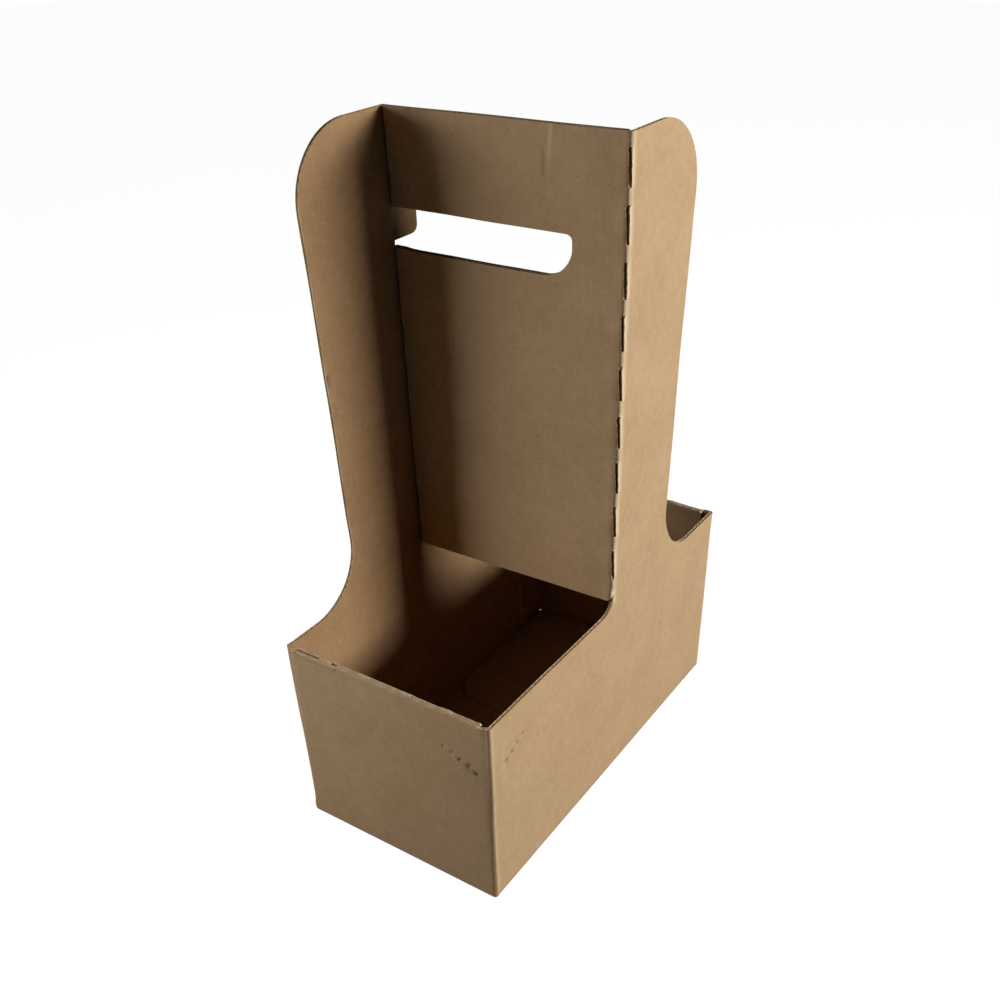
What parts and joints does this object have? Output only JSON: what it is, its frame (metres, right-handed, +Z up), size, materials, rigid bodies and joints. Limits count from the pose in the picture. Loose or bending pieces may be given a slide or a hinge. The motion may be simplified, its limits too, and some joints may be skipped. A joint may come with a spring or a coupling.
{
  "type": "cardboard cup carrier",
  "caption": "Folded corrugated-board carrier: an open rectangular tray for cups with an upright double panel between two rounded fins and a hand hole.",
  "frame": {"origin": "centre of the carrier's box on the surface it stands on", "axes": "+X across the width, +Y along the length towards the rear cup well, +Z up"},
  "size_m": [0.1078, 0.19, 0.285],
  "materials": {
    "kraft_board": "unprinted kraft corrugated board, matte"
  },
  "bodies": {
    "root": {"folded_carrier": "kraft_board"}
  },
  "joints": []
}
